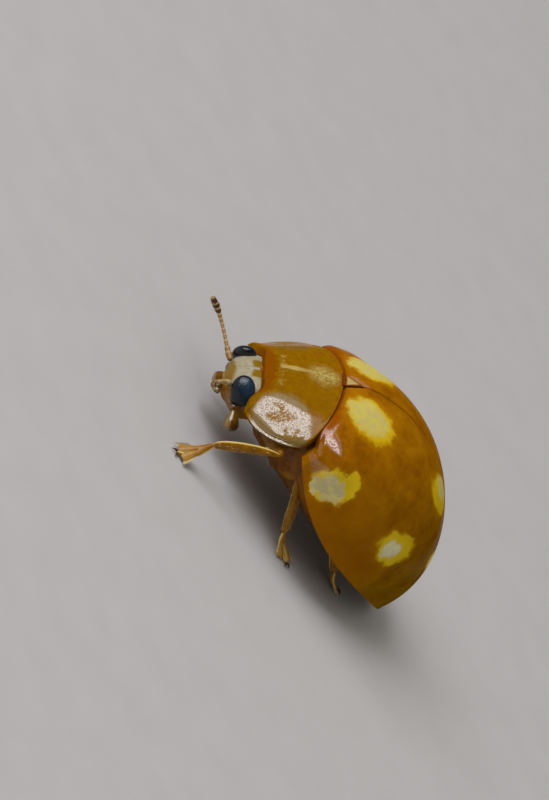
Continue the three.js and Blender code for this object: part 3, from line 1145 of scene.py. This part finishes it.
# %% A material to paint with
class Paint:
    """A material under construction. Constants go straight onto the shader's own sockets."""

    def __init__(self, name, **constants):
        self.material = bpy.data.materials.new(name)
        self.material.use_nodes = True
        self.tree = self.material.node_tree
        self.shader = self.tree.nodes["Principled BSDF"]
        for key, value in constants.items():
            self.shader.inputs[key.replace("_", " ")].default_value = value
        self.object_point = self.node("TexCoord", out="Object")

    def node(self, kind, settings=None, values=None, out=0):
        """Adds a node: its settings are set first, then the values or links of its sockets."""
        node = self.tree.nodes.new("ShaderNode" + kind)
        for key, value in (settings or {}).items():
            setattr(node, key, value)
        for key, value in (values or {}).items():
            if isinstance(value, Socket):
                self.tree.links.new(value.socket, node.inputs[key])
            else:
                node.inputs[key].default_value = value
        return Socket(self, node.outputs[out])

    def mix(self, factor, a, b):
        """A colour that is a where the factor is 0 and b where it is 1."""
        whole = lambda c: c if isinstance(c, Socket) else (*c, 1)
        return self.node("Mix", {"data_type": "RGBA"}, {0: factor, 6: whole(a), 7: whole(b)}, 2)

    def vector(self, operation, *vectors, out=0):
        return self.node("VectorMath", {"operation": operation}, dict(enumerate(vectors)), out)

    def scaled(self, vector, size):
        return self.node("VectorMath", {"operation": "SCALE"}, {0: vector, "Scale": size})

    def noise(self, point, scale, detail=2.0, rough=0.5, out=0):
        values = {"Vector": point, "Scale": scale, "Detail": detail, "Roughness": rough}
        return self.node("TexNoise", None, values, out)

    def cells(self, point, scale):
        """The distance from the nearest of many scattered dots."""
        return self.node("TexVoronoi", None, {"Vector": point, "Scale": scale}, "Distance")

    def body_point(self):
        """Where a point lies in the body's own frame, in millimetres."""
        back = STANCE.inverted()
        values = {
            "Vector": self.object_point, "Location": back.translation,
            "Rotation": back.to_euler(), "Scale": (1 / MM,) * 3,
        }
        return self.node("Mapping", None, values)

    def axes(self, point):
        return [self.node("SeparateXYZ", None, {0: point}, out) for out in "XYZ"]

    def mirrored(self, point):
        """The point, or its mirror image on the left side."""
        x, y, z = self.axes(point)
        return self.node("CombineXYZ", None, {"X": abs(x), "Y": y, "Z": z})

    def distance(self, point, centre, radii, turn=(0, 0, 0)):
        """The distance from the middle of an ellipsoid, as a share of its radii."""
        values = {"Vector": point, "Location": centre, "Rotation": turn, "Scale": radii}
        local = self.node("Mapping", {"vector_type": "TEXTURE"}, values)
        return self.vector("LENGTH", local, out="Value")

    def wobble(self, point, scale, size, detail=2.0):
        """The point moved by up to half of size, by a noise of the given scale."""
        colour = self.noise(point, scale, detail, out="Color")
        shift = self.vector("SUBTRACT", colour, (0.5, 0.5, 0.5))
        return self.vector("ADD", point, self.scaled(shift, size))

    def feed(self, socket, value):
        self.tree.links.new(value.socket, self.shader.inputs[socket])

    def bump(self, height, depth):
        """Feeds the normal with a height of 0 to 1 that stands for depth in millimetres."""
        values = {"Height": height, "Distance": depth * MM, "Strength": 1.0}
        self.feed("Normal", self.node("Bump", None, values))

    def read(self, name):
        """The number that `mark` wrote on the piece."""
        return self.node("Attribute", {"attribute_name": name}, None, "Fac")


def wear(material, *pieces):
    for piece in pieces:
        piece.data.materials.clear()
        piece.data.materials.append(material)


back = STANCE.inverted().to_euler().x
print("patterns are turned back by", round(math.degrees(back), 2), "degrees")

# %% [markdown]
# ## The finish of the wing cases
#
# The plates are clear amber, redder in front and browner towards the tail. Each carries five
# cream spots with a ragged lemon-yellow edge, set two, two and one. The cream lies off centre in its
# yellow, so the two are laid out apart. Each spot is a flat ellipsoid laid on the dome, two of them
# for a spot that isn't round, and noise makes its edge ragged.

# %% Lay out the spots
YELLOW = [  # where each blob lies (across, y), its half length and half width, and its heading
    (0.254, 0.53, 0.56, 0.46, 64), (0.824, 0.79, 0.42, 0.36, 126), (0.728, 1.0, 0.3, 0.2, 43),
    (0.686, 2.73, 0.46, 0.37, 118), (0.165, 2.76, 0.46, 0.36, 114), (0.32, 3.98, 0.26, 0.2, 95),
]
CREAM = [
    (0.25, 0.47, 0.46, 0.37, 76), (0.835, 0.82, 0.31, 0.27, 92), (0.925, 0.62, 0.17, 0.08, 65),
    (0.716, 2.66, 0.25, 0.21, 138), (0.12, 2.74, 0.3, 0.22, 114), (0.3, 3.98, 0.13, 0.1, 95),
]
BLOB = {"deep": 0.6, "melt": 0.12}  # half depth through the plate, and how blobs run together


def blob_frame(across, y, heading):
    """The middle of a blob on the dome, and the turn that lays its length along the heading."""
    side = dome(across + 0.005, y) - dome(across - 0.005, y)
    along = dome(across, y + 0.01) - dome(across, y - 0.01)
    outward = side.cross(along).normalized()
    turn = Matrix.Rotation(math.radians(heading), 3, outward)
    length = (turn @ side).normalized()
    return dome(across, y), Matrix((length, outward.cross(length), outward)).transposed().to_euler()


def nearest_blob(paint, point, blobs):
    """The distance from the nearest blob's middle, as a share of its radii."""
    nearest = None
    for across, y, long, broad, heading in blobs:
        middle, turn = blob_frame(across, y, heading)
        away = paint.distance(point, middle, (long, broad, BLOB["deep"]), turn)
        nearest = away if nearest is None else nearest.melt(away, BLOB["melt"])
    return nearest


print("yellow blobs to a side:", len(YELLOW), "and cream ones:", len(CREAM))

# %% [markdown]
# A real plate is glossy all over, and fine pits break its shine up into speckles. Here, gloss all
# over would lay a pale haze along every edge. So this is a compromise: the coat is laid on the
# shoulders and the side lobes, with the pits cut out of it, and only thinly elsewhere. In other
# light, the rest of a plate is duller than a real one.

# %% Lay the lacquer
PLATE = {
    "IOR": 1.5, "Specular_IOR_Level": 0.0, "Coat_IOR": 2.05, "Coat_Roughness": 0.06,
    "Subsurface_Weight": 0.15, "Subsurface_Scale": 0.25 * MM,
}


def shine(paint, point, bright, rest):
    """How much lacquer lies on a plate: speckled by fine pits where it is bright."""
    speckle = paint.noise(point, 34, 3, 0.6).step(0.38, 0.54)
    return (bright * (speckle * 0.66 + 0.14)).most(rest)


print("lacquer on", len(wing_cases) + 1, "plates")

# %% Mix the amber and the cream
AMBER = {
    "front": (0.31, 0.112, 0.001), "middle": (0.245, 0.098, 0.001), "tail": (0.19, 0.1, 0.001),
    "mottle": (0.2, 0.055, 0.001), "cloud": (0.165, 0.048, 0.001), "clear": (0.34, 0.145, 0.002),
    "side": (0.34, 0.12, 0.002), "seam": (0.23, 0.055, 0.001), "halo": (0.38, 0.17, 0.002),
    "pit": (0.12, 0.05, 0.001), "speck": (0.5, 0.36, 0.16),
}
# The low lemon and the low creams are paler and brighter than near the crest: partly their own colour
# and partly painted light, where the lamp reaches the low spots less.
LEMON = [(0.52, 0.34, 0.006), (0.64, 0.44, 0.012)]  # near the crest, and lower down
CREAMS = {
    "high": [(0.5, 0.42, 0.08), (0.46, 0.38, 0.12)],
    "low": [(0.7, 0.64, 0.33), (0.62, 0.58, 0.38)],
    "front": [(0.6, 0.5, 0.19), (0.48, 0.42, 0.22)],
}


def amber_ground(paint, point, mottle):
    """Amber that turns browner towards the tail, clouded, and red along the seam and in front."""
    x, y, z = paint.axes(point)
    drift = paint.noise(point, 0.9, 3)
    cloud = paint.noise(point, 2.2, 4, 0.65)
    amber = paint.mix((y + drift * 1.2).step(0.4, 2.4), AMBER["front"], AMBER["middle"])
    amber = paint.mix((y + drift * 1.5).step(2.8, 5.2), amber, AMBER["tail"])
    amber = paint.mix(mottle.step(0.45, 0.75) * 0.4, amber, AMBER["mottle"])
    amber = paint.mix(cloud.step(0.45, 0.68) * 0.6, amber, AMBER["cloud"])
    amber = paint.mix(cloud.step(0.47, 0.3) * 0.5, amber, AMBER["clear"])
    amber = paint.mix((abs(x) + y * 0.1).step(2.0, 2.4) * 0.5, amber, AMBER["side"])
    seam = abs(x).step(0.035, 0.012)
    edge = y.step(0.1, 0.0) * abs(x).step(1.9, 1.6)
    return paint.mix(seam.most(edge) * 0.85, amber, AMBER["seam"])


def with_spots(paint, point, ragged, mottle, ground):
    """Cream in lemon yellow on the ground. The spots near the crest are the yellower ones, and the
    low ones are paler and brighter: partly their own colour and partly painted light.
    """
    x, y, z = paint.axes(point)
    # Low on the dome the spots are painted brighter: partly own colour and partly painted light.
    low = z.step(1.9, 1.5)
    yellow = nearest_blob(paint, ragged, YELLOW)
    cream = nearest_blob(paint, paint.wobble(ragged, 13, 0.1, 4), CREAM)
    colour = paint.mix(yellow.step(1.4, 0.98) * 0.4, ground, AMBER["halo"])
    colour = paint.mix(yellow.step(1.1, 0.84), colour, paint.mix(low, *LEMON))
    high_cream = paint.mix(mottle.step(0.35, 0.65), *CREAMS["high"])
    low_cream_painted_light = paint.mix(mottle.step(0.35, 0.65), *CREAMS["low"])
    front_cream = paint.mix(mottle.step(0.4, 0.6), *CREAMS["front"])
    low_cream_painted_light = paint.mix(y.step(1.6, 1.2), low_cream_painted_light, front_cream)
    return paint.mix(cream.step(1.18, 0.76), colour, paint.mix(low, high_cream, low_cream_painted_light))


print("ambers:", ", ".join(AMBER))

# %% Paint the wing cases
def wing_case_finish():
    paint = Paint("amber_shell", Subsurface_Radius=(1.0, 0.35, 0.05), **PLATE)
    point = paint.body_point()
    mottle = paint.noise(point, 6, 4, 0.6)
    ragged = paint.wobble(paint.wobble(paint.mirrored(point), 3.2, 0.26), 9, 0.2, 5)
    pits = paint.cells(point, 7.5).step(0.13, 0.05)
    specks = paint.cells(point, 3.1).step(0.035, 0.02)
    colour = with_spots(paint, point, ragged, mottle, amber_ground(paint, point, mottle))
    colour = paint.mix(pits * 0.45, colour, AMBER["pit"])
    paint.feed("Base Color", paint.mix(specks * 0.7, colour, AMBER["speck"]))
    swelling = dome(CALLUS["across"], CALLUS["y"] - 0.15)
    shoulder = paint.distance(ragged, swelling, (0.65, 0.5, 0.6)).step(1.1, 0.6)
    crest = paint.axes(point)[2].step(0.9, 2.0)
    paint.feed("Coat Weight", shine(paint, point, shoulder, crest * 0.1))
    paint.feed("Roughness", paint.noise(point, 9, 3).step(0.3, 0.8) * 0.1 + 0.12)
    paint.bump(paint.noise(point, 15, 1) + mottle * 1.5 - pits * 0.6, 0.003)
    return paint.material


wear(wing_case_finish(), *wing_cases)
print("wing cases painted")

# %% [markdown]
# ## The finish of the neck shield and the triangle
#
# The shield is ochre, with a pale line down its middle that widens to a patch behind. The side
# lobes are paler, partly their own colour and partly a painted highlight, with two open brown
# rings each, and an orange band runs behind the front edge. The rings are matt, so they show in the
# shine of the lobe. The right lobe is painted darker than the left one, as painted shade. The
# triangle is cream with a red rim.

# %% Mark the lobes of the neck shield
def open_ring(paint, point, centre, radius, width, gap):
    """A ring round centre that is open on the side of the gap direction."""
    ring = abs(paint.distance(point, centre, (radius,) * 3) - 1).step(width, width * 0.3)
    away = paint.vector("SUBTRACT", point, centre)
    return ring * paint.vector("DOT_PRODUCT", away, gap, out="Value").step(0.1, 0.0)


def matt_marks(paint, point, ragged):
    """The two open rings and the smudge between them, which have no lacquer."""
    inner = open_ring(paint, ragged, (1.2, -0.72, 0.73), 0.16, 0.5, (-0.5, -0.2, -0.8))
    outer = open_ring(paint, ragged, (1.58, -0.33, 0.9), 0.13, 0.45, (-0.9, -0.2, 0.3))
    smudge = paint.distance(ragged, (1.32, -0.6, 0.85), (0.13, 0.3, 0.3)).step(1.2, 0.6)
    return inner.most(outer).most(smudge * 0.9) * paint.noise(point, 24, 3, 0.6).step(0.36, 0.5)


print("marks on a lobe: two rings and a smudge")

# %% Paint the neck shield
# "lobe" is the pale of the side lobes: partly their own colour and partly a painted highlight.
OCHRE = {
    "dark": (0.2, 0.085, 0.001), "light": (0.235, 0.11, 0.001), "lobe": (0.22, 0.16, 0.06),
    "mark": (0.24, 0.115, 0.004), "stripe": (0.42, 0.33, 0.1), "patch": (0.42, 0.34, 0.1),
    "crackle": (0.13, 0.065, 0.004), "fleck": (0.34, 0.25, 0.06), "band": (0.19, 0.055, 0.001),
    "hind": (0.23, 0.055, 0.001), "pit": (0.1, 0.04, 0.001),
}


def neck_shield_finish():
    paint = Paint("ochre_shield", Subsurface_Radius=(1.0, 0.45, 0.1), **PLATE)
    point = paint.body_point()
    ragged = paint.wobble(paint.mirrored(point), 9, 0.14, 4)
    x, y, z = paint.axes(ragged)
    mottle = paint.noise(point, 8, 4, 0.6)
    colour = paint.mix(mottle.step(0.35, 0.7), OCHRE["dark"], OCHRE["light"])
    # The side lobes are paler: partly their own colour and partly a painted highlight.
    lobe = paint.distance(ragged, (1.5, -0.55, 0.8), (0.85, 0.62, 0.62)).step(1.05, 0.8)
    # Painted shade: the right lobe takes less of the pale colour, so it is darker than the left one.
    right = paint.axes(point)[0].step(0.2, -0.2)
    colour = paint.mix(lobe * (0.7 - right * 0.45), colour, OCHRE["lobe"])
    matt = matt_marks(paint, point, ragged)
    marks = matt * paint.noise(point, 16, 3).step(0.25, 0.45)
    colour = paint.mix(marks * 0.9, colour, OCHRE["mark"])
    stripe = x.step(0.08, 0.02) * y.step(-0.93, -0.8) * y.step(-0.05, -0.2)
    stripe = stripe * (y.step(-0.45, -0.75) * 0.5 + 0.5)
    colour = paint.mix(stripe * 0.85, colour, OCHRE["stripe"])
    patch = paint.distance(ragged, (0, -0.3, 1.6), (0.42, 0.34, 0.5)).step(1.1, 0.3)
    crackle = paint.noise(point, 17, 4, 0.65)
    colour = paint.mix(patch * (crackle.step(0.42, 0.56) * 0.5 + 0.25), colour, OCHRE["patch"])
    colour = paint.mix(patch * crackle.step(0.42, 0.34) * 0.5, colour, OCHRE["crackle"])
    flecks = paint.distance(ragged, (0, -0.83, 1.1), (0.75, 0.06, 0.5)).step(1.1, 0.6)
    colour = paint.mix(flecks * mottle.step(0.45, 0.6) * 0.5, colour, OCHRE["fleck"])
    band = y.step(-0.885, -0.915) * x.step(0.95, 0.7)
    colour = paint.mix(band * 0.9, colour, OCHRE["band"])
    hind = y.step(-0.09, -0.02) * x.step(1.75, 1.6)
    colour = paint.mix(hind * 0.6, colour, OCHRE["hind"])
    pits = paint.cells(point, 8).step(0.11, 0.04)
    paint.feed("Base Color", paint.mix(pits * 0.35, colour, OCHRE["pit"]))
    pale = lobe.most(patch * 0.4) * (1 - matt)
    paint.feed("Coat Weight", shine(paint, point, pale, z.step(0.6, 1.2) * 0.1))
    paint.feed("Roughness", marks * 0.3 + paint.noise(point, 9, 3) * 0.1 + 0.12)
    paint.bump(paint.noise(point, 17, 2) + mottle * 1.5 - pits * 0.5 - marks * 0.6, 0.004)
    return paint.material


wear(neck_shield_finish(), neck_shield)
print("ochres:", ", ".join(OCHRE))

# %% Paint the triangle
def scutellum_finish():
    paint = Paint(
        "cream_triangle", IOR=1.5, Specular_IOR_Level=0.5, Subsurface_Weight=0.15,
        Subsurface_Scale=0.2 * MM,
    )
    point = paint.body_point()
    x, y, z = paint.axes(point)
    inside = (abs(x) + y * (TRIANGLE["half"] / TRIANGLE["length"])).step(0.18, 0.14)
    inside = inside * y.step(0.0, 0.03)
    grain = paint.noise(point, 18, 3)
    cream = paint.mix(grain, (0.5, 0.38, 0.12), (0.4, 0.28, 0.08))
    paint.feed("Base Color", paint.mix(inside, (0.16, 0.035, 0.001), cream))
    paint.feed("Roughness", grain * 0.15 + 0.2)
    paint.bump(grain, 0.003)
    return paint.material


wear(scutellum_finish(), scutellum)
print("triangle painted")

# %% [markdown]
# ## The finish of the head and the eyes
#
# The head is cream, with ochre squares near the shield and an ochre patch on the face. The eyes
# are black, with a painted navy reflection on their upper half. The sheen is a painted colour here,
# because the lenses of this model don't mirror the light that way.

# %% Paint the head
def head_finish():
    paint = Paint(
        "cream_head", IOR=1.5, Specular_IOR_Level=0.05, Coat_Weight=0.15, Coat_IOR=1.8,
        Coat_Roughness=0.2, Subsurface_Weight=0.15, Subsurface_Scale=0.15 * MM,
    )
    point = paint.body_point()
    ragged = paint.wobble(paint.mirrored(point), 11, 0.07, 4)
    x, y, z = paint.axes(ragged)
    grain = paint.noise(point, 14, 4, 0.6)
    colour = paint.mix(grain.step(0.35, 0.65), (0.3, 0.265, 0.165), (0.36, 0.325, 0.23))
    stain = paint.noise(point, 6, 4, 0.7).step(0.5, 0.64)
    colour = paint.mix(stain * 0.5, colour, (0.23, 0.17, 0.055))
    square = x.step(0.03, 0.06) * x.step(0.31, 0.27) * z.step(0.44, 0.49)
    face = paint.distance(ragged, (0, -1.3, 0.04), (0.4, 0.7, 0.15)).step(1.25, 0.7)
    colour = paint.mix(square.most(face), colour, (0.21, 0.115, 0.004))
    colour = paint.mix((z - x * 0.35).step(-0.1, -0.16), colour, (0.3, 0.12, 0.004))
    dots = paint.cells(point, 9).step(0.13, 0.05)
    colour = paint.mix(dots * 0.5, colour, (0.1, 0.06, 0.012))
    paint.feed("Base Color", colour)
    paint.feed("Roughness", grain * 0.2 + 0.22)
    paint.bump(grain + paint.noise(point, 30, 2) * 0.5 - dots, 0.003)
    return paint.material


wear(head_finish(), head)
print("head painted")

# %% Paint the eyes
def eye_finish():
    paint = Paint("black_eye_painted_sheen", IOR=1.5, Specular_IOR_Level=0.6)
    point = paint.body_point()
    grain = paint.noise(point, 5, 3)
    # Painted reflection: a navy sheen on the upper part of each eye, fading to black towards its rim.
    sheen = paint.distance(paint.mirrored(point), (0.7, -1.04, 0.42), (0.32,) * 3).step(1.05, 0.2)
    navy_sheen = paint.mix(grain, (0.006, 0.022, 0.042), (0.013, 0.045, 0.083))
    paint.feed("Base Color", paint.mix(sheen, (0.002, 0.005, 0.009), navy_sheen))
    paint.feed("Roughness", grain * 0.1 + 0.28)
    paint.bump(paint.cells(point, 26), 0.004)
    return paint.material


wear(eye_finish(), *eyes)
print("eyes painted")

# %% [markdown]
# ## The finish of the skin and the limbs
#
# The underside and the legs are clear amber-brown, and the mouth, the claws and the bristles are the
# same horn in other shades, so one function mixes them all. The feelers are banded, with a dark
# club, and take their bands from the numbers that were marked on their cups.

# %% Paint the skin and the limbs
# The colour of the painted glow on the edges of the limbs and on the soles.
PAINTED_GLOW = (0.7, 0.54, 0.18)


def amber_finish(name, dark, light, edges=0.0, coat=0.15):
    """Horn of two shades. The edges of a limb and the soles are painted paler: a painted glow of
    light coming through.
    """
    paint = Paint(
        name, IOR=1.5, Specular_IOR_Level=0.1, Coat_Weight=coat, Coat_IOR=1.8, Coat_Roughness=0.12,
        Subsurface_Weight=0.3, Subsurface_Scale=0.15 * MM, Subsurface_Radius=(1.0, 0.5, 0.15),
    )
    point = paint.body_point()
    tone = paint.noise(point, 6, 4, 0.6)
    grain = paint.noise(point, 30, 3, 0.6)
    # Painted glow of light coming through: on the ridges of a limb, and on the soles near the floor.
    glow_sole = paint.axes(paint.object_point)[2].step(0.5 * MM, 0.1 * MM) * 0.2
    glow_ridge = paint.read("rim").step(0.86, 0.97)
    colour = paint.mix(tone.step(0.3, 0.7), dark, light)
    paint.feed("Base Color", paint.mix(glow_sole.most(glow_ridge) * edges, colour, PAINTED_GLOW))
    paint.feed("Roughness", grain * 0.2 + 0.22)
    paint.bump(grain * 0.6 + tone, 0.002)
    return paint.material


trunk_finish = amber_finish("amber_trunk", (0.15, 0.045, 0.001), (0.28, 0.1, 0.002))
leg_finish = amber_finish("amber_leg", (0.22, 0.088, 0.002), (0.33, 0.145, 0.004), edges=0.9)
mouth_finish = amber_finish("amber_mouth", (0.075, 0.03, 0.001), (0.16, 0.075, 0.002), 0.2, 0.8)
bristle_finish = amber_finish("pale_bristle", (0.45, 0.32, 0.1), (0.75, 0.6, 0.3))
claw_finish = amber_finish("dark_claw", (0.02, 0.01, 0.004), (0.06, 0.025, 0.006))
skin.data.materials[0], skin.data.materials[1] = trunk_finish, leg_finish
wear(mouth_finish, labrum, *palps)
wear(bristle_finish, *leg_bristles, *feeler_bristles)
wear(claw_finish, *claws)
print("finishes on the skin:", len(skin.data.materials))

# %% Paint the feelers
def feeler_finish():
    """Each cup is brown at its root and pale round its mouth, and the club's three are darkest."""
    paint = Paint("banded_feeler", IOR=1.5, Specular_IOR_Level=0.4)
    grain = paint.noise(paint.body_point(), 30, 3, 0.6)
    club = paint.read("rim").step(0.7, 0.82)
    root = paint.mix(grain, (0.2, 0.1, 0.02), (0.32, 0.18, 0.05))
    root = paint.mix(club, root, (0.06, 0.028, 0.01))
    mouth = paint.mix(club, (0.44, 0.31, 0.13), (0.3, 0.17, 0.07))
    paint.feed("Base Color", paint.mix(paint.read("along").step(0.6, 0.9), root, mouth))
    paint.feed("Roughness", grain * 0.2 + 0.25)
    paint.bump(grain, 0.003)
    return paint.material


wear(feeler_finish(), *feelers)
print("feelers painted")

# %% [markdown]
# ## The floor
#
# The floor is a plain pale board. A faint speckle keeps it from looking like paper.

# %% Paint the floor
def floor_finish():
    paint = Paint("pale_floor", IOR=1.45, Specular_IOR_Level=0.2)
    speckle = paint.noise(paint.object_point, 900, 3)
    paint.feed("Base Color", paint.mix(speckle, (0.44, 0.435, 0.425), (0.48, 0.475, 0.465)))
    paint.feed("Roughness", speckle * 0.1 + 0.75)
    return paint.material


wear(floor_finish(), floor)
print("floor painted")
